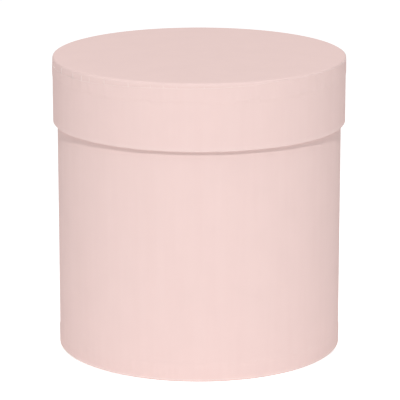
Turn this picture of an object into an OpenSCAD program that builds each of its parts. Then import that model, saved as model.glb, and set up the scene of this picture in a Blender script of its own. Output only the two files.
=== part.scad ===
// Round lidded flower box: greyboard walls and discs, covered in pink paper and lined in white paper.
// Millimetres, +Z up, origin at the centre of the face that the box stands on.
// Angles round the box are measured from the front (-Y), positive towards the right (+X).

/* [Size] */
// Outside diameter of the lid over its paper
lid_od = 180; // [140:1:260]
// Height of the closed box
total_h = 182.5; // [120:0.5:260]
// Height of the lid's skirt
lid_h = 41; // [25:1:60]
// Gap all round between the lid's lining and the box's paper
lid_gap = 0.7; // [0.4:0.05:1.5]

/* [Board and paper] */
// Thickness of the greyboard
board_t = 1.5; // [1:0.1:2.5]
// Thickness of the pink covering paper
cover_t = 0.18; // [0.12:0.01:0.25]
// Thickness of the white lining paper
lining_t = 0.15; // [0.1:0.01:0.2]
// Thickness of the gummed tape over the joints in the board
tape_t = 0.12; // [0.08:0.01:0.12]

/* [Folds and seams] */
// Length of the tabs that are cut in the disc papers and folded over the edge
tab_l = 11; // [7:0.5:16]
// Number of tabs round each disc paper
tab_count = 47; // [30:1:60]
// How unevenly the tabs are cut by hand, as a share of a tab's width
tab_unevenness = 0.35; // [0:0.05:0.35]
// Width of the notch between two tabs at its open end
notch_w = 1.6; // [0.8:0.1:2.5]
// How far the wraps turn in over the board's edge
turn_in = 14; // [8:1:20]
// Overlap where a paper's two ends meet
lap_w = 12; // [6:1:20]
// Width of the gummed tape
tape_w = 24; // [16:1:40]
// Open joint where the two ends of a bent board meet
butt_w = 0.4; // [0.2:0.1:1]
// Distance from the box's foot to the lower edge of its wrap
foot_reveal = 1; // [0.6:0.1:3]
// Distance from the lid's rim to the upper edge of its wrap, at the left side
rim_reveal_left = 5; // [1.5:0.1:6]
// Distance from the lid's rim to the upper edge of its wrap, at the right side
rim_reveal_right = 0.8; // [0.6:0.1:3]

/* [Hidden] */
$fn = 180;

pink = "#f2d4cf";
pink_single = "#ebcdc8";
greyboard = "#a39c90";
white_paper = "#f4f1ec";
kraft = "#c2a078";

// Turning positions of the seams and joints, from the front
body_seam = 196;
body_joint = 152;
lining_seam = 205;
lid_seam = 214;
lid_joint = 168;
strip_seam = 187;

// Phase and frequency of the hand-cut tabs
tab_phase = 2;
tab_wander = 76;

// The lid's layers, from the outside in
lid_r = lid_od / 2;
hoop_r = lid_r - 2 * cover_t;
hoop_in = hoop_r - board_t;
strip_r = hoop_in - cover_t;
strip_in = strip_r - lining_t;

// The box's layers, from the outside in
wrap_r = strip_in - lid_gap;
tube_r = wrap_r - cover_t;
tube_in = tube_r - board_t;
sleeve_r = tube_in - cover_t;
sleeve_in = sleeve_r - lining_t;

// Levels of the lid, from the top down
cover_under = total_h - cover_t;
lid_board_under = cover_under - board_t;
lid_ceiling = lid_board_under - lining_t;
lid_foot = total_h - lid_h;
lid_tab_end = total_h - tab_l;

// Levels of the box, from the bottom up
seat_gap = 0.1;
rim_z = lid_ceiling - seat_gap;
mouth_z = rim_z - cover_t;
floor_z = cover_t + board_t;
jog = 1;
hair = 0.05;

// Turning position of the cut between tab i and the one before it
function tab_angle(i) =
    tab_phase + 360 / tab_count * (i + tab_unevenness * sin(tab_wander * i));

// Turns a shape made at +X so that it stands at an angle from the front
module at(angle) {
    rotate([0, 0, angle - 90]) children();
}

module tube(r_out, r_in, low, high) {
    difference() {
        translate([0, 0, low]) cylinder(r = r_out, h = high - low);
        translate([0, 0, low - 1]) cylinder(r = r_in, h = high - low + 2);
    }
}

module disc(r, low, high) {
    translate([0, 0, low]) cylinder(r = r, h = high - low);
}

// A stretch of a turned outline, width mm along the curve of radius r, centred at an angle
module stretch(outline, r, width, angle) {
    sweep = width / r * 180 / PI;
    at(angle - sweep / 2) rotate_extrude(angle = sweep) polygon(outline);
}

function upright(r_in, r_out, low, high) =
    [[r_in, low], [r_out, low], [r_out, high], [r_in, high]];

// A board bent into a ring, with an open joint where its ends meet
module bent_board(r_out, r_in, low, high, joint) {
    difference() {
        tube(r_out, r_in, low, high);
        at(joint) translate([r_in - 1, -butt_w / 2, low - 1]) cube([board_t + 2, butt_w, high - low + 2]);
    }
}

// A round paper with a rim of tabs that starts at its fold and runs along the wall to z = tab_l
module tabbed_paper(r_wall) {
    difference() {
        union() {
            disc(r_wall, 0, cover_t);
            tube(r_wall + cover_t, r_wall, 0, tab_l);
        }
        for (i = [0 : tab_count - 1]) at(tab_angle(i)) notch(r_wall);
    }
}

// The V between two tabs, from a point just past the fold to its open end
module notch(r_wall) {
    point_z = foot_reveal + cover_t;
    translate([r_wall - hair, 0, 0])
        rotate([90, 0, 90])
            linear_extrude(height = cover_t + 1)
                polygon([[0, point_z], [notch_w / 2, tab_l + hair], [-notch_w / 2, tab_l + hair]]);
}

// A lining bent into a ring, with its inner end lapped over its outer one
module lining_ring(r_out, low, high, seam) {
    union() {
        rotate_extrude() polygon(upright(r_out - lining_t, r_out, low, high));
        stretch(upright(r_out - 2 * lining_t, r_out - hair, low, high), r_out, lap_w, seam);
    }
}

/* The box */

module base_cover() {
    color(pink) tabbed_paper(tube_r);
}

module base_board() {
    color(greyboard) disc(tube_in, cover_t, floor_z);
}

module body_tube() {
    color(greyboard) bent_board(tube_r, tube_in, cover_t, mouth_z, body_joint);
}

module body_joint_tape() {
    tape = upright(tube_in - tape_t, tube_in, floor_z + lining_t, rim_z - turn_in - hair);
    color(kraft) stretch(tape, tube_in, tape_w, body_joint);
}

module body_wrap() {
    outside = [
        [wrap_r + cover_t, foot_reveal], [wrap_r + cover_t, tab_l], [wrap_r, tab_l + jog],
        [wrap_r, rim_z]
    ];
    inside = [
        [sleeve_r, rim_z], [sleeve_r, rim_z - turn_in], [tube_in, rim_z - turn_in],
        [tube_in, mouth_z], [tube_r, mouth_z], [tube_r, tab_l + jog], [wrap_r, tab_l],
        [wrap_r, foot_reveal]
    ];
    lap = [
        [wrap_r + hair, foot_reveal], [wrap_r + 2 * cover_t, foot_reveal],
        [wrap_r + 2 * cover_t, tab_l], [wrap_r + cover_t, tab_l + jog], [wrap_r + cover_t, rim_z],
        [wrap_r - hair, rim_z], [wrap_r - hair, tab_l + jog], [wrap_r + hair, tab_l]
    ];
    color(pink) union() {
        rotate_extrude() polygon(concat(outside, inside));
        stretch(lap, wrap_r, lap_w, body_seam);
    }
}

module floor_lining() {
    color(white_paper) disc(tube_in - hair, floor_z, floor_z + lining_t);
}

module body_lining() {
    color(white_paper) lining_ring(sleeve_r, floor_z + lining_t, rim_z - cover_t - 4, lining_seam);
}

/* The lid */

module lid_cover() {
    color(pink_single) translate([0, 0, total_h]) mirror([0, 0, 1]) tabbed_paper(hoop_r);
}

module lid_board() {
    color(greyboard) disc(hoop_in, lid_board_under, cover_under);
}

module lid_hoop() {
    color(greyboard) bent_board(hoop_r, hoop_in, lid_foot + cover_t, cover_under, lid_joint);
}

module lid_joint_tape() {
    tape = upright(hoop_in - tape_t, hoop_in, lid_foot + turn_in + hair, lid_ceiling);
    color(kraft) stretch(tape, hoop_in, tape_w, lid_joint);
}

// Everything above the wrap's upper edge, which runs out of true across the lid
module above_lid_wrap() {
    slope = atan((rim_reveal_left - rim_reveal_right) / lid_od);
    middle = total_h - (rim_reveal_left + rim_reveal_right) / 2;
    translate([0, 0, middle])
        rotate([0, -slope, 0])
            translate([-lid_od, -lid_od, 0]) cube([2 * lid_od, 2 * lid_od, 10]);
}

module lid_wrap() {
    outer = lid_r - cover_t;
    outside = [
        [outer, lid_foot], [outer, lid_tab_end - jog], [lid_r, lid_tab_end], [lid_r, total_h]
    ];
    inside = [
        [outer, total_h], [outer, lid_tab_end], [hoop_r, lid_tab_end - jog],
        [hoop_r, lid_foot + cover_t], [hoop_in, lid_foot + cover_t], [hoop_in, lid_foot + turn_in],
        [strip_r, lid_foot + turn_in], [strip_r, lid_foot]
    ];
    lap = [
        [outer - hair, lid_foot], [lid_r, lid_foot], [lid_r, lid_tab_end - jog],
        [lid_r + cover_t, lid_tab_end], [lid_r + cover_t, total_h], [outer + hair, total_h],
        [outer + hair, lid_tab_end], [outer - hair, lid_tab_end - jog]
    ];
    color(pink) difference() {
        union() {
            rotate_extrude() polygon(concat(outside, inside));
            stretch(lap, lid_r, lap_w, lid_seam);
        }
        above_lid_wrap();
    }
}

module lid_lining_disc() {
    color(white_paper) disc(hoop_in - hair, lid_ceiling, lid_board_under);
}

module lid_lining_strip() {
    color(white_paper) lining_ring(strip_r, lid_foot + 3, lid_ceiling, strip_seam);
}

base_cover();
base_board();
body_tube();
body_joint_tape();
body_wrap();
floor_lining();
body_lining();
lid_cover();
lid_board();
lid_hoop();
lid_joint_tape();
lid_wrap();
lid_lining_disc();
lid_lining_strip();
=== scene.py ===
"""Looks of the round, paper-covered flower box, built round its CAD frame. Metres, +Z up, front at -Y.

Angles round the box are in degrees from the front, positive towards the right (+X).
"""

import math

import bmesh
import bpy
import numpy as np
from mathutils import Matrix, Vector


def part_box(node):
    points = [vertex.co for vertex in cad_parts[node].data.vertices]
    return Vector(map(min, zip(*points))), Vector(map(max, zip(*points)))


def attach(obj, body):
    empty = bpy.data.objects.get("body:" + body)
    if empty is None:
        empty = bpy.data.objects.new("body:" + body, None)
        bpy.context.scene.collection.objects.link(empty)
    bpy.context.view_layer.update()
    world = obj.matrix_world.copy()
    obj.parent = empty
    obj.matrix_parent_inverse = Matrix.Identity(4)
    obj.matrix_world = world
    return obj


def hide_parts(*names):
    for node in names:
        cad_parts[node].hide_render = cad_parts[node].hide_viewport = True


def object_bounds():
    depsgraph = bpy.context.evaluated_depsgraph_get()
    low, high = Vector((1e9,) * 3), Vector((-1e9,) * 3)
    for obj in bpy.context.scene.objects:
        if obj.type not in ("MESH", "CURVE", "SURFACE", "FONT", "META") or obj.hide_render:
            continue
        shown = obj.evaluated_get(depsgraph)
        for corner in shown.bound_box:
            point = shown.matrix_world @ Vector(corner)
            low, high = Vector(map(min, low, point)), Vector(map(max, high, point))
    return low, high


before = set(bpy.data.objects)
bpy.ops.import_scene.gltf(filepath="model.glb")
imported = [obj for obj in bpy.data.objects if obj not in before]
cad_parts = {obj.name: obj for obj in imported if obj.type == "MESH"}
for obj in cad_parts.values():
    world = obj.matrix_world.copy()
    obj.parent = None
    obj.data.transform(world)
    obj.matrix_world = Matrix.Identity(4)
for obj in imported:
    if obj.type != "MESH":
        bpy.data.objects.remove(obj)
cad_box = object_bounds()

MM = 0.001

# Papers and board, as in the CAD model
COVER_T = 0.18 * MM
LINING_T = 0.15 * MM
BOARD_T = 1.5 * MM
TAPE_T = 0.12 * MM
TAPE_HALF = 12 * MM
TURN_IN = 14 * MM
LAP_W = 12 * MM
BUTT_W = 0.4 * MM
FOOT_REVEAL = 1 * MM
LINING_SHORT = 4.2 * MM
STRIP_SHORT = 3 * MM
DISC_SHORT = 0.05 * MM

# Radii and levels, read from the frame
LID_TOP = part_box("lid_cover")[1].z
LID_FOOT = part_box("lid_wrap")[0].z
HOOP_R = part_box("lid_hoop")[1].x
HOOP_IN = HOOP_R - BOARD_T
BOARD_TOP = LID_TOP - COVER_T
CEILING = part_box("lid_lining_disc")[0].z
BOX_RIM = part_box("body_wrap")[1].z
TUBE_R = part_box("body_tube")[1].x
TUBE_IN = TUBE_R - BOARD_T
TUBE_TOP = BOX_RIM - COVER_T
FLOOR_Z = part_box("floor_lining")[0].z

# Turning positions of seams and board joints
BODY_SEAM = 196
BODY_JOINT = 152
LINING_SEAM = 205
LID_SEAM = 214
LID_JOINT = 168
STRIP_SEAM = 187

# Hand-cut tabs of the disc papers, and the wandering of their cuts
TAB_COUNT = 47
TAB_L = 11 * MM
TAB_UNEVEN = 0.35
TAB_WANDER = 76
TAB_PHASE = 2
SLIT_START = 1.55 * MM

# Each tab laps the one at its right, pressed half into it, and its free right edge curls up a little
LAP_PRESSED = 0.55
LAP_START = 0.12 * MM
LAP_EASE = 1.6 * MM
CURL = 0.14 * MM
CURL_W = 0.7 * MM
CURL_START = 0.5 * MM
FREE_EASE = 0.6 * MM

# The wrap's upper edge on the lid, down from the rim
REVEAL_MEAN = 2.9 * MM
REVEAL_TILT = 2.05 * MM
REVEAL_BOW = 0.33 * MM

# Rows of a tab, as shares of its length
TAB_ROWS = np.array([0.06, 0.14, 0.25, 0.4, 0.55, 0.7, 0.85, 0.96, 1.0])

# Rows of the lid's wrap: shares of the way down over the tabs, then depths below the lid's top
LID_TABS_CLEAR = 12.5 * MM
LID_TAB_ROWS = np.array(
    [0, 0.02, 0.06, 0.12, 0.2, 0.3, 0.4, 0.5, 0.6, 0.69, 0.76, 0.82, 0.87, 0.91, 0.95, 1.0]
)
LID_WALL_ROWS = np.array([14, 17, 21, 25, 29, 32, 34.5, 36.5, 38]) * MM

# Rows of the box's wrap: heights above its lower edge over the tabs, then heights above the table
BODY_TAB_ROWS = np.array(
    [0, 0.25, 0.7, 1.4, 2.3, 3.4, 4.6, 5.8, 6.8, 7.6, 8.2, 8.7, 9.2, 9.7, 10.2, 10.8, 11.6]
) * MM
BODY_WALL_ROWS = np.linspace(14, 177, 8) * MM

# How gently papers ease over the edges under them, and small margins kept beside those edges
CLIMB = 1.4 * MM
EASE = 1.2 * MM
TAB_RISE = 2.0 * MM
TAB_FALL = 0.9 * MM
TAB_FADE = 1.8 * MM
TAB_LAP_START = 0.35 * MM
EARLY = 0.2 * MM
HAIR = 0.01 * MM

# How far a wrap's cut edge stands back at its outer end, and how far round that starts
LID_END_STEP = 0.5 * MM
BODY_END_STEP = 0.35 * MM
OUTER_END = 355

# Corners of the boards, crushed round
RIM_ROUND = 1.2 * MM
EDGE_ROUND = 0.33 * MM
INNER_ROUND = 0.2 * MM

# Width of the pale wear at tabs' sides, at papers' edges and at the wraps' outer ends
WORN_SIDE = 0.35 * MM
WORN_EDGE = 0.5 * MM
WORN_END = 0.4 * MM

# Height of the fine relief of each surface
TOOTH_HEIGHT = 0.022 * MM
FIBRE_HEIGHT = 0.009 * MM
PULP_HEIGHT = 0.08 * MM
KRAFT_HEIGHT = 0.03 * MM

# Fineness of the meshes
WRAP_COLUMNS = 1080
LINING_COLUMNS = 720
LINING_ROWS = 25
DISC_RINGS = 15
COVER_RINGS = 20
TAB_STEPS = 12
FOLD_STEPS = 5
SHARP_ANGLE = 38
MERGE_DISTANCE = 1e-7

# Kinds of face, which are also the places of their materials in a piece's slots
FACE, BACK, CUT = 0, 1, 2


# Small formulas ---------------------------------------------------------------


def smooth(x):
    """0 below 0, 1 above 1, and an S-curve between."""
    x = np.clip(x, 0, 1)
    return x * x * (3 - 2 * x)


def hump(x, width):
    """1 at 0, falling away to both sides."""
    return np.exp(-((x / width) ** 2))


def waves(angles, parts):
    """A sum of waves round the box; parts are (height in mm, waves in a turn, phase in degrees)."""
    a = np.radians(angles)
    return sum(h * MM * np.sin(n * a + math.radians(p)) for h, n, p in parts)


def apart(angles, other, radius):
    """Distance along the wall from another angle, in metres, positive to its right."""
    return np.radians((np.asarray(angles) - other + 180) % 360 - 180) * radius


def lapped_round(seam, radius, columns):
    """Angles from a paper's inner end, once round, to its outer end a lap further on."""
    turn = 360 + math.degrees(LAP_W / radius)
    return seam + np.append(np.arange(0, turn, 360 / columns), turn)


def ring_radii(radius, rings):
    """Radii from the centre out, closer together towards the edge."""
    return radius * np.sin(np.linspace(0, math.pi / 2, rings + 1))


# Tabs -------------------------------------------------------------------------


def tab_cuts():
    """Angles of the cuts between tabs."""
    i = np.arange(TAB_COUNT)
    uneven = TAB_UNEVEN * np.sin(np.radians(TAB_WANDER * i))
    return TAB_PHASE + 360 / TAB_COUNT * (i + uneven)


def tab_offsets():
    """Shares across a tab, closer together near its cut edges."""
    s = np.arange(TAB_STEPS + 1) / TAB_STEPS
    return s - 0.55 * np.sin(2 * math.pi * s) / (2 * math.pi)


def tab_length(i):
    """Each tab is cut to a slightly different length."""
    return TAB_L + 0.45 * MM * np.sin(2.3 * i + 0.4)


def lap_half(i, depth, radius):
    """Half the width by which tab i laps its neighbour, at a depth below the fold."""
    width = 2 * math.pi * radius / TAB_COUNT
    spare = width * np.clip(depth - SLIT_START, 0, None) / radius
    return 0.5 * spare * (1.1 + 0.3 * np.sin(1.7 * i))


def tab_body(i, depth):
    """1 on tab i, falling to 0 past its end."""
    return 1 - smooth((depth - tab_length(i) + EARLY) / TAB_FADE)


def tab_relief(angles, depth, radius):
    """How far the tabs stand off the board under a wrap, at each depth below the fold and angle."""
    relief = np.zeros(depth.shape)
    cuts = tab_cuts()
    for i, cut in enumerate(cuts):
        width = apart(cuts[(i + 1) % TAB_COUNT], cut, radius)
        across = apart(angles, cut, radius)
        over = (across >= 0) & (across < width)
        relief = np.where(over[None, :], tab_body(i, depth) * COVER_T, relief)
    for i, cut in enumerate(cuts):
        across = apart(angles, cut, radius)[None, :]
        half = lap_half(i, depth, radius)
        share = smooth(half / TAB_LAP_START)
        rise = smooth((across + half + TAB_RISE + EARLY) / TAB_RISE)
        fall = 1 - smooth((across - half) / TAB_FALL)
        relief += COVER_T * LAP_PRESSED * share * rise * fall * tab_body(i, depth)
    return relief


# Papers and boards that are a little out of true --------------------------------


def wrap_reveal(angles):
    """Distance from the lid's top down to the upper edge of its wrap, which was put on out of true."""
    a = np.radians(angles)
    trend = REVEAL_MEAN - REVEAL_TILT * np.sin(a) - REVEAL_BOW * np.sin(2 * a)
    return trend + waves(angles, [(0.3, 6, 42), (0.06, 16, 130), (0.05, 29, 250)])


def nothing_bare(angles):
    """The base's tabs lie wholly under the box's wrap."""
    return 0 * angles


def end_step(angles, seam, step):
    """How far a wrap's cut edge stands back: a step at its outer end, and 0 elsewhere."""
    return np.where(angles > seam + OUTER_END, step, 0)


def rim_inset(depth):
    """How far the lid's rounded rim falls back from its wall, at a depth below its top."""
    bend = RIM_ROUND + COVER_T
    above = np.clip(bend - depth, 0, bend)
    return bend - np.sqrt(bend * bend - above * above)


def lid_swell(angles):
    """The lid's hoop is not a perfect circle where its board was bent."""
    gentle = waves(angles, [(0.035, 11, 40), (0.028, 19, 200), (0.022, 31, 95), (0.012, 53, 10)])
    return gentle - 0.05 * MM * hump(apart(angles, LID_JOINT, HOOP_R), 8 * MM)


def box_swell(angles):
    """The same for the box's tube."""
    gentle = waves(angles, [(0.04, 9, 75), (0.03, 17, 10), (0.025, 29, 150), (0.014, 47, 300)])
    return gentle - 0.05 * MM * hump(apart(angles, BODY_JOINT, TUBE_R), 8 * MM)


def lid_sag(path, angles):
    """The lid's top is a little uneven, and falls away towards its rim."""
    r = np.asarray(path)[:, 0:1] / HOOP_R
    a = np.radians(angles)[None, :]
    uneven = 0.05 * MM * r * r * np.cos(2 * a + 0.7) + 0.035 * MM * np.sin(5 * r) * np.sin(3 * a + 2)
    shoulder = 0.12 * MM * smooth((r - 0.93) / 0.07)
    calm = 1 - smooth((r - 0.9) / 0.1)
    return uneven * calm + shoulder


def flat_sag(path, angles):
    """The base's paper is pressed flat by the box's weight."""
    return np.zeros((len(path), len(angles)))


# How papers stand off their walls, and where they are worn ----------------------


def lap_lift(angles, seam, radius, thickness):
    """How far a paper stands off the wall where it climbs on to its own inner end."""
    past = np.radians(angles - seam - 360) * radius
    return (thickness + HAIR) * smooth((past + CLIMB + EARLY) / CLIMB)


def hem_stand(hem, angles, seam, radius):
    """How far a hem makes a lining stand off its wall: two papers at the hem's seam, and one elsewhere."""
    past = apart(angles, seam, radius)
    rise = smooth((past + 2 * CLIMB + EARLY) / CLIMB)
    fall = 1 - smooth((past - LAP_W - EARLY) / CLIMB)
    return (COVER_T + (COVER_T + 2 * HAIR) * rise * fall) * hem


def tape_stand(angles, joint, radius):
    """How far a joint tape makes a lining stand off its wall."""
    return TAPE_T * smooth(1 - (np.abs(apart(angles, joint, radius)) - TAPE_HALF) / EASE)


def lid_strip_stand(heights, angles):
    """The lid's lining strip lies over the wrap's turned-in edge and the joint tape."""
    hem = 1 - smooth((heights - (LID_FOOT + TURN_IN)) / EASE)
    return hem_stand(hem, angles, LID_SEAM, HOOP_IN) + tape_stand(angles, LID_JOINT, HOOP_IN) * (1 - hem)


def box_lining_stand(heights, angles):
    """The box's lining lies over the wrap's turned-in edge and the joint tape, with a faint ripple."""
    hem = smooth((heights - (BOX_RIM - TURN_IN) + EASE) / EASE)
    ripple = 0.02 * MM * (1 + np.sin(np.radians(13 * angles)) * np.sin(heights / (31 * MM)))
    clear = tape_stand(angles, BODY_JOINT, TUBE_IN) + ripple
    return hem_stand(hem, angles, BODY_SEAM, TUBE_IN) + clear * (1 - hem)


def end_worn(wear, angles, radius):
    """The wear given, with a pale cut edge along the wrap's outer end."""
    to_end = np.radians(angles[-1] - angles)[None, :] * radius
    return np.maximum(wear, 0.8 * hump(to_end, WORN_END))


# Paths: rows of (radius, height, normal's radius part, normal's height part) -------


def straight(start, end, stops, normal):
    """Points from start to end at the given shares of the way."""
    return [
        (start[0] + (end[0] - start[0]) * s, start[1] + (end[1] - start[1]) * s, *normal)
        for s in stops
    ]


def arc(centre, radius, start, end, steps):
    """Points round a corner, from one angle to another in the section plane, normals outwards."""
    rows = []
    for k in range(steps + 1):
        a = math.radians(start + (end - start) * k / steps)
        c, s = math.cos(a), math.sin(a)
        rows.append((centre[0] + radius * c, centre[1] + radius * s, c, s))
    return rows


def on_wall(angles, radius, height):
    """Points at a radius and height, at every angle."""
    a = np.radians(angles)
    return np.stack([radius * np.sin(a), -radius * np.cos(a), height + 0 * a], -1)


def turned(path, angles, raised=0.0, drop=0.0):
    """The path's points at every angle: raised is along the normal, and drop is straight down."""
    path = np.asarray(path, float)
    raised = np.broadcast_to(raised, (len(path), len(angles)))
    radius = path[:, 0:1] + path[:, 2:3] * raised
    height = path[:, 1:2] + path[:, 3:4] * raised - drop
    return on_wall(np.asarray(angles, float)[None, :], radius, height)


def by_part(parts, values, columns):
    """A value for all the rows of each part of a path, at every column."""
    rows = np.concatenate([np.full(len(part), float(value)) for part, value in zip(parts, values)])
    return np.repeat(rows[:, None], columns, 1)


def then(rows, path, value=0.0):
    """The rows given for the start of a path, filled up to its length with one value."""
    rest = (len(path) - len(rows), rows.shape[1])
    return np.vstack([rows, np.full(rest, value)])


# Meshes -----------------------------------------------------------------------


class Sheet:
    """A sheet of paper or board, collected as grids of points on its face and its back."""

    def __init__(self):
        self.points, self.wear, self.faces, self.kinds = [], [], [], []
        self.count = 0

    def grid(self, points, wear=0.0):
        """Adds a grid of points and returns their numbers."""
        shape = points.shape[:2]
        self.points.append(points.reshape(-1, 3))
        self.wear.append(np.broadcast_to(wear, shape).reshape(-1))
        numbers = self.count + np.arange(shape[0] * shape[1]).reshape(shape)
        self.count += shape[0] * shape[1]
        return numbers

    def strip(self, a, b, kind, closed=False):
        """Quads between two rows of numbers."""
        if closed:
            a, b = np.append(a, a[0]), np.append(b, b[0])
        self.faces.append(np.stack([a[:-1], a[1:], b[1:], b[:-1]], -1))
        self.kinds.append(np.full(len(a) - 1, kind))

    def both_sides(self, face, back, closed):
        """Fills the face and back between rows that are already added."""
        for a, b in zip(face[:-1], face[1:]):
            self.strip(a, b, FACE, closed)
        for a, b in zip(back[:-1], back[1:]):
            self.strip(b, a, BACK, closed)

    def whole(self, face, back, wear=0.0):
        """A whole sheet from its face grid and its back grid, with cut edges all round."""
        f, b = self.grid(face, wear), self.grid(back)
        self.both_sides(f, b, False)
        self.strip(b[0], f[0], CUT)
        self.strip(f[-1], b[-1], CUT)
        self.strip(f[:, 0], b[:, 0], CUT)
        self.strip(b[:, -1], f[:, -1], CUT)

    def stand_at(self, level, to_face):
        """Moves points made about height 0 to a level, turned over where to_face is -1."""
        for points in self.points:
            points[:, 2] = level + to_face * points[:, 2]

    def make(self, name, materials):
        """The mesh object, its doubled points merged and its faces turned outwards."""
        points = np.concatenate(self.points)
        faces = np.concatenate(self.faces)
        mesh = bpy.data.meshes.new(name)
        mesh.from_pydata(points.tolist(), [], faces.tolist())
        wear = mesh.attributes.new("wear", "FLOAT", "POINT")
        wear.data.foreach_set("value", np.concatenate(self.wear))
        mesh.polygons.foreach_set("material_index", np.concatenate(self.kinds).astype(np.int32))
        bm = bmesh.new()
        bm.from_mesh(mesh)
        bmesh.ops.remove_doubles(bm, verts=bm.verts, dist=MERGE_DISTANCE)
        bmesh.ops.recalc_face_normals(bm, faces=bm.faces)
        bm.to_mesh(mesh)
        bm.free()
        mesh.polygons.foreach_set("use_smooth", np.ones(len(mesh.polygons), bool))
        mesh.set_sharp_from_angle(angle=math.radians(SHARP_ANGLE))
        for material in materials:
            mesh.materials.append(material)
        obj = bpy.data.objects.new(name, mesh)
        bpy.context.scene.collection.objects.link(obj)
        return obj


def place(obj, body, node):
    """The piece rides on its body and stands for its CAD node, which it hides."""
    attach(obj, body)
    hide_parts(node)


def finish_node(node, material):
    """Gives a CAD node that stays in view its material."""
    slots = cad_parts[node].data.materials
    slots.clear()
    slots.append(material)


# Materials --------------------------------------------------------------------


def node_tree(name):
    """A new material's nodes, and a function that adds one with its inputs set or linked."""
    material = bpy.data.materials.new(name)
    material.use_nodes = True
    tree = material.node_tree
    tree.nodes.clear()

    def add(kind, inputs, **settings):
        node = tree.nodes.new("ShaderNode" + kind)
        for key, value in settings.items():
            setattr(node, key, value)
        for key, value in inputs.items():
            if isinstance(value, bpy.types.NodeSocket):
                tree.links.new(value, node.inputs[key])
            else:
                node.inputs[key].default_value = value
        return node.outputs

    return material, add


def object_place(add):
    """The point's place on the piece, in metres."""
    return add("TexCoord", {})["Object"]


def noise(add, place_at, scale, detail, **inputs):
    """Cloudy noise from 0 to 1; scale is in patches to a metre."""
    return add("TexNoise", {"Vector": place_at, "Scale": scale, "Detail": detail, **inputs})["Fac"]


def flecks(add, place_at, scale):
    """The distance to the nearest of many scattered specks."""
    return add("TexVoronoi", {"Vector": place_at, "Scale": scale}, feature="F1")["Distance"]


def stretched(add, place_at, upright, **inputs):
    """The place with its height squeezed, which draws a texture out along the height."""
    return add("Mapping", {"Vector": place_at, "Scale": (1, 1, upright), **inputs})["Vector"]


def spread(add, value, low, high, start=0.0, end=1.0, **settings):
    """A value between start and end, spread to lie between low and high."""
    ends = {"Value": value, "From Min": start, "From Max": end, "To Min": low, "To Max": high}
    return add("MapRange", ends, **settings)["Result"]


def mixed(add, share, first, second, **settings):
    """The first colour, with a share of the second."""
    return add("MixRGB", {"Fac": share, "Color1": first, "Color2": second}, **settings)["Color"]


def bumped(add, height, distance, **inputs):
    """A surface direction roughened by a height."""
    return add("Bump", {"Height": height, "Strength": 1.0, "Distance": distance, **inputs})["Normal"]


def finished(add, inputs):
    """The surface shader with its inputs, and the material's output."""
    add("OutputMaterial", {"Surface": add("BsdfPrincipled", inputs)["BSDF"]})


def shaded(colour, factor):
    """A colour made darker or paler by a factor."""
    return (colour[0] * factor, colour[1] * factor, colour[2] * factor, 1)


def paper_material(name, colour, worn, rough=0.78, tooth=1.0, streaks=1.0, spec=0.0):
    """Paper: cloudy tone, faint upright streaks, fibres, tooth, and pale wear along folds and cuts."""
    material, add = node_tree(name)
    here = object_place(add)
    cloud = noise(add, here, 55, 5, Roughness=0.6)
    streak = noise(add, stretched(add, here, 0.05), 210, 3, Roughness=0.55)
    grain = noise(add, here, 900, 6, Roughness=0.65)
    fibre_place = stretched(add, here, 0.22, Rotation=(0.5, 0.3, 0.8))
    fibre = noise(add, fibre_place, 2600, 4, Distortion=0.8)
    tone = mixed(add, cloud, shaded(colour, 0.978), shaded(colour, 1.022))
    streaky = mixed(add, 0.35 * streaks, tone, streak, blend_type="SOFT_LIGHT")
    calm = mixed(add, 0.16, tone, streaky)
    speck = spread(add, flecks(add, here, 420), 0.18, 0.0, start=0.03, end=0.09)
    flecked = mixed(add, speck, calm, shaded(colour, 0.86))
    wear = add("Attribute", {}, attribute_name="wear")["Fac"]
    patchy = spread(add, grain, 0.45, 1.0, start=0.35, end=0.62)
    rubbed = add("Math", {0: wear, 1: patchy}, operation="MULTIPLY")["Value"]
    tooth_bump = bumped(add, grain, TOOTH_HEIGHT * tooth)
    finished(add, {
        "Base Color": mixed(add, rubbed, flecked, (*worn, 1)),
        "Roughness": spread(add, grain, rough - 0.07, rough + 0.08, start=0.3, end=0.7),
        "Normal": bumped(add, fibre, FIBRE_HEIGHT * tooth, Normal=tooth_bump),
        "Specular IOR Level": spec,
    })
    return material


def board_material(name, colour):
    """Greyboard: pressed grey pulp with darker and paler patches and dark flecks."""
    material, add = node_tree(name)
    here = object_place(add)
    pulp = noise(add, here, 320, 7, Roughness=0.7)
    tone = mixed(add, pulp, shaded(colour, 0.72), shaded(colour, 1.25))
    fleck = spread(add, flecks(add, here, 700), 0.5, 0.0, start=0.05, end=0.2)
    finished(add, {
        "Base Color": mixed(add, fleck, tone, shaded(colour, 0.45)),
        "Roughness": spread(add, pulp, 0.82, 0.97),
        "Normal": bumped(add, pulp, PULP_HEIGHT),
        "Specular IOR Level": 0.2,
    })
    return material


def kraft_material(name, colour):
    """Gummed kraft tape: brown paper with machine-direction streaks."""
    material, add = node_tree(name)
    here = object_place(add)
    streak = noise(add, stretched(add, here, 0.08), 1500, 5, Roughness=0.7)
    cloud = noise(add, here, 150, 4)
    tone = mixed(add, streak, shaded(colour, 0.8), shaded(colour, 1.2))
    finished(add, {
        "Base Color": mixed(add, 0.3, tone, cloud, blend_type="SOFT_LIGHT"),
        "Roughness": spread(add, cloud, 0.6, 0.8),
        "Normal": bumped(add, streak, KRAFT_HEIGHT),
        "Specular IOR Level": 0.35,
    })
    return material


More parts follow.
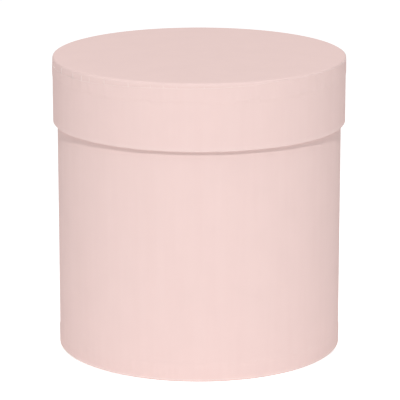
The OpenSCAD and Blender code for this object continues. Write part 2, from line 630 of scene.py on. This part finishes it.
def floor_material():
    """A plain white studio floor, very faintly uneven, which glows so that it stays white as the lights
    fall away, and glows a little more right round the box: a painted pool of light, which also shines on
    the box's lower wall.
    """
    material, add = node_tree("studio_floor")
    here = object_place(add)
    away = add("VectorMath", {0: here}, operation="LENGTH")["Value"]
    # Painted pool of light: extra glow of the floor right round the box, which also lights the box's lower
    # wall
    painted_light_pool = spread(add, away, 0.12, 0.0, start=0.12, end=0.5, interpolation_type="SMOOTHSTEP")
    beyond = spread(add, away, 0.24, 0.65, start=0.8, end=6.0, interpolation_type="SMOOTHSTEP")
    cloud = noise(add, here, 3, 4)
    finished(add, {
        "Base Color": mixed(add, cloud, shaded((1, 1, 1), 0.94), shaded((1, 1, 1), 0.96)),
        "Roughness": 0.9,
        "Specular IOR Level": 0.1,
        "Emission Color": (1, 1, 1, 1),
        "Emission Strength": add("Math", {0: painted_light_pool, 1: beyond}, operation="ADD")["Value"],
    })
    return material


PINK = (0.772, 0.589, 0.561)
PINK_WORN = (0.90, 0.79, 0.76)
CORE = (0.87, 0.80, 0.77)
WHITE = (0.90, 0.868, 0.85)
WHITE_WORN = (0.92, 0.90, 0.885)
GREY = (0.30, 0.275, 0.235)
BROWN = (0.50, 0.33, 0.18)

wrap_paper = paper_material("pink_wrap_paper", PINK, PINK_WORN)
cover_paper = paper_material("pink_cover_paper", PINK, PINK_WORN, streaks=0.4)
cut_paper = paper_material("cut_paper_edge", CORE, CORE, rough=0.9, tooth=2.0, spec=0.2)
glued_back = paper_material("paper_back", CORE, CORE, rough=0.88, spec=0.2)
lining_paper = paper_material(
    "white_lining_paper", WHITE, WHITE_WORN, rough=0.5, tooth=0.7, streaks=0.6, spec=0.45
)
greyboard = board_material("greyboard", GREY)
kraft = kraft_material("kraft_tape", BROWN)
pink_set = (wrap_paper, glued_back, cut_paper)
cover_set = (cover_paper, glued_back, cut_paper)
lining_set = (lining_paper, glued_back, cut_paper)
board_set = (greyboard, greyboard, greyboard)


# Disc papers with tabs --------------------------------------------------------


def one_tab(i, cut, width, wall_r, bare):
    """Face points, back points and wear of tab i, which laps on to the tab at its right."""
    depth = SLIT_START + (tab_length(i) - SLIT_START) * TAB_ROWS
    half = lap_half(i, depth, wall_r)
    start = cut - np.degrees(half / wall_r)
    stop = cut + width + np.degrees(half / wall_r)
    angles = start[:, None] + (stop - start)[:, None] * tab_offsets()[None, :]
    to_right = np.radians(stop[:, None] - angles) * wall_r
    down = depth[:, None]
    step = LAP_PRESSED * COVER_T * smooth(half / LAP_START)[:, None]
    over_next = 1 - smooth((to_right - 2 * half[:, None]) / LAP_EASE)
    free = 1 - smooth((down - bare(angles) + FREE_EASE) / FREE_EASE)
    curl = CURL * (0.6 + 0.4 * math.sin(3.1 * i)) * hump(to_right, CURL_W)
    lift = step * over_next + curl * free * smooth((down - SLIT_START) / CURL_START)
    wear = 0.5 * hump(to_right, WORN_SIDE) + 0.2 * hump(down - depth[-1], WORN_EDGE)
    face = on_wall(angles, wall_r + lift + COVER_T, -down)
    back = on_wall(angles, wall_r + lift, -down)
    return face, back, wear


def cover_paper_piece(name, wall_r, level, to_face, sag, bare):
    """A disc paper with its rim of lapped tabs. to_face is 1 when it faces up and -1 when down.

    bare gives the depth to which the tabs are left uncovered by the wrap.
    """
    cuts = tab_cuts()
    widths = (np.roll(cuts, -1) - cuts) % 360
    ring = (cuts[:, None] + widths[:, None] * tab_offsets()[None, :-1]).reshape(-1)
    flat = [(r, 0.0, 0, 1) for r in ring_radii(wall_r - RIM_ROUND, COVER_RINGS)[:-1]]
    fold = arc((wall_r - RIM_ROUND, -RIM_ROUND), RIM_ROUND, 90, 0, 8)
    fold.append((wall_r, -SLIT_START, 1, 0))
    path = flat + fold
    drop = sag(path, ring)
    fold_wear = by_part((flat, fold), (0, 0.03), len(ring))
    sheet = Sheet()
    f = sheet.grid(turned(path, ring, COVER_T, drop), fold_wear)
    b = sheet.grid(turned(path, ring, 0, drop))
    sheet.both_sides(f, b, True)
    for i, cut in enumerate(cuts):
        face, back, wear = one_tab(i, cut, widths[i], wall_r, bare)
        columns = (i * TAB_STEPS + np.arange(TAB_STEPS + 1)) % len(ring)
        face_rows = np.vstack([f[-1][columns], sheet.grid(face, wear)])
        back_rows = np.vstack([b[-1][columns], sheet.grid(back)])
        sheet.both_sides(face_rows, back_rows, False)
        sheet.strip(face_rows[-1], back_rows[-1], CUT)
        sheet.strip(face_rows[:, 0], back_rows[:, 0], CUT)
        sheet.strip(back_rows[:, -1], face_rows[:, -1], CUT)
    sheet.stand_at(level, to_face)
    return sheet.make(name, cover_set)


# Wraps ------------------------------------------------------------------------


def wrap_piece(name, path, angles, raised, drop, wear, body, node):
    """A wrap from its path; raised and drop are as in turned(), for its back."""
    sheet = Sheet()
    face = turned(path, angles, raised + COVER_T, drop)
    sheet.whole(face, turned(path, angles, raised, drop), wear)
    place(sheet.make(name, pink_set), body, node)


def lid_wrap_paper():
    """The strip round the lid's skirt: cut edge up by the rim, turned in under the skirt."""
    angles = lapped_round(LID_SEAM, HOOP_R, WRAP_COLUMNS)
    reveal = wrap_reveal(angles) + end_step(angles, LID_SEAM, LID_END_STEP)
    foot = LID_FOOT + COVER_T
    over_tabs = reveal[None, :] + (LID_TABS_CLEAR - reveal[None, :]) * LID_TAB_ROWS[:, None]
    depths = np.vstack([over_tabs, np.repeat(LID_WALL_ROWS[:, None], len(angles), 1)])
    wall = [(HOOP_R, LID_TOP, 1, 0)] * len(depths)
    outer = arc((HOOP_R - EDGE_ROUND, foot + EDGE_ROUND), EDGE_ROUND, 0, -90, FOLD_STEPS)
    under = arc((HOOP_IN + EDGE_ROUND, foot + EDGE_ROUND), EDGE_ROUND, -90, -180, FOLD_STEPS)
    up = (0.15, 0.4, 0.7, 0.95, 1.0)
    inside = straight((HOOP_IN, foot), (HOOP_IN, LID_FOOT + TURN_IN), up, (-1, 0))
    parts = (wall, outer, under, inside)
    path = wall + outer + under + inside
    swell = by_part(parts, (1, 1, 0.4, 0), len(angles)) * lid_swell(angles)
    seam = lap_lift(angles, LID_SEAM, HOOP_R, COVER_T)
    relief = tab_relief(angles, depths, HOOP_R) - rim_inset(depths)
    wear = by_part(parts, (0, 0.12, 0.15, 0), len(angles))
    wear[:2] = np.outer([0.4, 0.15], smooth((reveal - 1.2 * MM) / (1.2 * MM)))
    wear[-2:] = [[0.1], [0.5]]
    wrap_piece(
        "lid_wrap_paper", path, angles, then(relief, path) + swell + seam, then(depths, path),
        end_worn(wear, angles, HOOP_R), "lid", "lid_wrap",
    )


def body_wrap_paper():
    """The paper round the box: cut edge just above the table, turned in over the rim."""
    angles = lapped_round(BODY_SEAM, TUBE_R, WRAP_COLUMNS)
    foot = FOOT_REVEAL + waves(angles, [(0.10, 5, 60), (0.07, 13, 10), (0.05, 27, 200)])
    foot += end_step(angles, BODY_SEAM, BODY_END_STEP)
    over_tabs = foot[None, :] + BODY_TAB_ROWS[:, None]
    heights = np.vstack([over_tabs, np.repeat(BODY_WALL_ROWS[:, None], len(angles), 1)])
    wall = [(TUBE_R, 0.0, 1, 0)] * len(heights)
    outer = arc((TUBE_R - EDGE_ROUND, TUBE_TOP - EDGE_ROUND), EDGE_ROUND, 0, 90, FOLD_STEPS)
    over = arc((TUBE_IN + EDGE_ROUND, TUBE_TOP - EDGE_ROUND), EDGE_ROUND, 90, 180, FOLD_STEPS)
    hem = BOX_RIM - TURN_IN + waves(angles, [(0.25, 4, 30), (0.12, 15, 100)])
    down = np.array([0.15, 0.3, 0.5, 0.75, 0.95, 1.0])
    inside_heights = TUBE_TOP + (hem[None, :] - TUBE_TOP) * down[:, None]
    inside = [(TUBE_IN, 0.0, -1, 0)] * len(down)
    parts = (wall, outer, over, inside)
    path = wall + outer + over + inside
    folds = np.zeros((len(outer) + len(over), len(angles)))
    drop = -np.vstack([heights, folds, inside_heights])
    climbing = then(heights / BOX_RIM * 0.6 + 0.4, path, 1.0)
    swell = by_part(parts, (1, 1, 0.4, 0), len(angles)) * climbing * box_swell(angles)
    seam = lap_lift(angles, BODY_SEAM, TUBE_R, COVER_T)
    relief = tab_relief(angles, heights, TUBE_R)
    wear = by_part(parts, (0, 0.15, 0.2, 0), len(angles))
    wear[:3] = [[0.8], [0.5], [0.05]]
    wear[-2:] = [[0.1], [0.5]]
    wrap_piece(
        "body_wrap_paper", path, angles, then(relief, path) + swell + seam, drop,
        end_worn(wear, angles, TUBE_R), "box", "body_wrap",
    )


# Boards and linings -------------------------------------------------------------


def bent_board(name, outer, inner, low, high, joint, rounds, body, node):
    """A board bent into a ring, its ends meeting in an open joint, with its corners crushed round."""
    half = math.degrees(BUTT_W / 2 / outer)
    angles = np.linspace(joint + half, joint + 360 - half, 361)
    top_out, top_in, low_in, low_out = rounds
    face = arc((outer - low_out, low + low_out), low_out, -90, 0, 4)
    face += arc((outer - top_out, high - top_out), top_out, 0, 90, 6)
    back = arc((inner + low_in, low + low_in), low_in, -90, -180, 4)
    back += arc((inner + top_in, high - top_in), top_in, 180, 90, 6)
    sheet = Sheet()
    sheet.whole(turned(face, angles), turned(back, angles))
    place(sheet.make(name, board_set), body, node)


def lining_ring(name, wall_r, low, high, seam, over, body, node):
    """A lining paper inside a wall. over gives how far it stands off the wall at (heights, angles)."""
    angles = lapped_round(seam, wall_r, LINING_COLUMNS)
    heights = low + (high - low) * smooth(np.linspace(0, 1, LINING_ROWS))
    path = [(wall_r, z, -1, 0) for z in heights]
    raised = over(heights[:, None], angles[None, :]) + lap_lift(angles, seam, wall_r, LINING_T)
    wear = 0.5 * hump(heights - high, WORN_EDGE)[:, None]
    sheet = Sheet()
    sheet.whole(turned(path, angles, raised + LINING_T), turned(path, angles, raised), wear)
    place(sheet.make(name, lining_set), body, node)


def lining_disc(name, radius, level, to_face, body, node):
    """A flat lining disc with a faintly cockled surface."""
    angles = np.arange(360)
    radii = ring_radii(radius, DISC_RINGS)
    path = [(r, 0.0, 0, 1) for r in radii]
    a = np.radians(angles)[None, :]
    share = (radii / radius)[:, None]
    cockle = 0.02 * MM * (1 + np.sin(3 * a + 4 * share) * share * np.cos(7 * share))
    calm = 1 - smooth((share - 0.9) / 0.1)
    sheet = Sheet()
    f = sheet.grid(turned(path, angles, LINING_T + cockle * calm))
    b = sheet.grid(turned(path, angles))
    sheet.both_sides(f, b, True)
    sheet.strip(f[-1], b[-1], CUT, True)
    sheet.stand_at(level, to_face)
    place(sheet.make(name, lining_set), body, node)


# Pieces -------------------------------------------------------------------------

lid_cover = cover_paper_piece("lid_cover_paper", HOOP_R, BOARD_TOP, 1, lid_sag, wrap_reveal)
place(lid_cover, "lid", "lid_cover")
base_cover = cover_paper_piece("base_cover_paper", TUBE_R, COVER_T, -1, flat_sag, nothing_bare)
place(base_cover, "box", "base_cover")
lid_wrap_paper()
body_wrap_paper()
bent_board(
    "lid_hoop_board", HOOP_R, HOOP_IN, LID_FOOT + COVER_T, BOARD_TOP, LID_JOINT,
    (RIM_ROUND, INNER_ROUND, EDGE_ROUND, EDGE_ROUND), "lid", "lid_hoop",
)
bent_board(
    "body_tube_board", TUBE_R, TUBE_IN, COVER_T, TUBE_TOP, BODY_JOINT,
    (EDGE_ROUND, EDGE_ROUND, INNER_ROUND, RIM_ROUND), "box", "body_tube",
)
lining_ring(
    "lid_lining_strip_paper", HOOP_IN, LID_FOOT + STRIP_SHORT, CEILING, STRIP_SEAM, lid_strip_stand,
    "lid", "lid_lining_strip",
)
lining_ring(
    "body_lining_paper", TUBE_IN, FLOOR_Z + LINING_T, BOX_RIM - LINING_SHORT, LINING_SEAM, box_lining_stand,
    "box", "body_lining",
)
lining_disc(
    "lid_lining_disc_paper", HOOP_IN - DISC_SHORT, CEILING + LINING_T, -1, "lid", "lid_lining_disc"
)
lining_disc("floor_lining_paper", TUBE_IN - DISC_SHORT, FLOOR_Z, 1, "box", "floor_lining")

finish_node("base_board", greyboard)
finish_node("lid_board", greyboard)
finish_node("body_joint_tape", kraft)
finish_node("lid_joint_tape", kraft)


# Studio -------------------------------------------------------------------------


def studio_floor():
    """A wide round floor."""
    bpy.ops.mesh.primitive_circle_add(vertices=128, radius=14, fill_type="NGON", location=(0, 0, 0))
    floor = bpy.context.object
    floor.name = "studio_floor"
    floor.data.materials.append(floor_material())


def soft_light(name, azimuth, elevation, distance, size, power):
    """A square soft light, aimed at the middle of the box. Azimuth is from the front, to the right."""
    a, e = math.radians(azimuth), math.radians(elevation)
    middle = LID_TOP / 2
    data = bpy.data.lights.new(name, "AREA")
    data.shape = "SQUARE"
    data.size = size
    data.energy = power
    light = bpy.data.objects.new(name, data)
    light.location = (
        distance * math.sin(a) * math.cos(e),
        -distance * math.cos(a) * math.cos(e),
        middle + distance * math.sin(e),
    )
    light.rotation_euler = (math.pi / 2 - e, 0, a)
    bpy.context.scene.collection.objects.link(light)


def surroundings(strength):
    """An even white room, dimmer as a light than its walls look."""
    world = bpy.data.worlds.new("studio_room")
    bpy.context.scene.world = world
    world.use_nodes = True
    nodes, links = world.node_tree.nodes, world.node_tree.links
    seen = nodes.new("ShaderNodeLightPath")
    brightness = nodes.new("ShaderNodeMapRange")
    brightness.inputs["To Min"].default_value = strength
    links.new(seen.outputs["Is Camera Ray"], brightness.inputs["Value"])
    background = nodes["Background"]
    background.inputs["Color"].default_value = (1, 1, 1, 1)
    links.new(brightness.outputs[0], background.inputs["Strength"])


def camera(back, up, dip, lens, shift):
    """A long lens looking slightly down at the box; back and up are in half widths of the lid."""
    data = bpy.data.cameras.new("camera")
    data.sensor_width = 36
    data.lens = lens
    data.shift_x = shift
    data.clip_start, data.clip_end = 0.05, 60
    obj = bpy.data.objects.new("camera", data)
    half_lid = (cad_box[1].x - cad_box[0].x) / 2
    obj.location = (0, -back * half_lid, up * half_lid)
    obj.rotation_euler = (math.radians(90 - dip), 0, 0)
    bpy.context.scene.collection.objects.link(obj)
    bpy.context.scene.camera = obj


studio_floor()
soft_light("key_light", azimuth=0, elevation=45.5, distance=6, size=0.5, power=167)
soft_light("top_light", azimuth=0, elevation=80, distance=3, size=2, power=32)
soft_light("back_light", azimuth=180, elevation=30, distance=6, size=3.5, power=56)
surroundings(strength=0.30)
camera(back=17.34, up=5.414, dip=14.28, lens=233.4, shift=0.0021)
bpy.context.scene.view_settings.view_transform = "Standard"
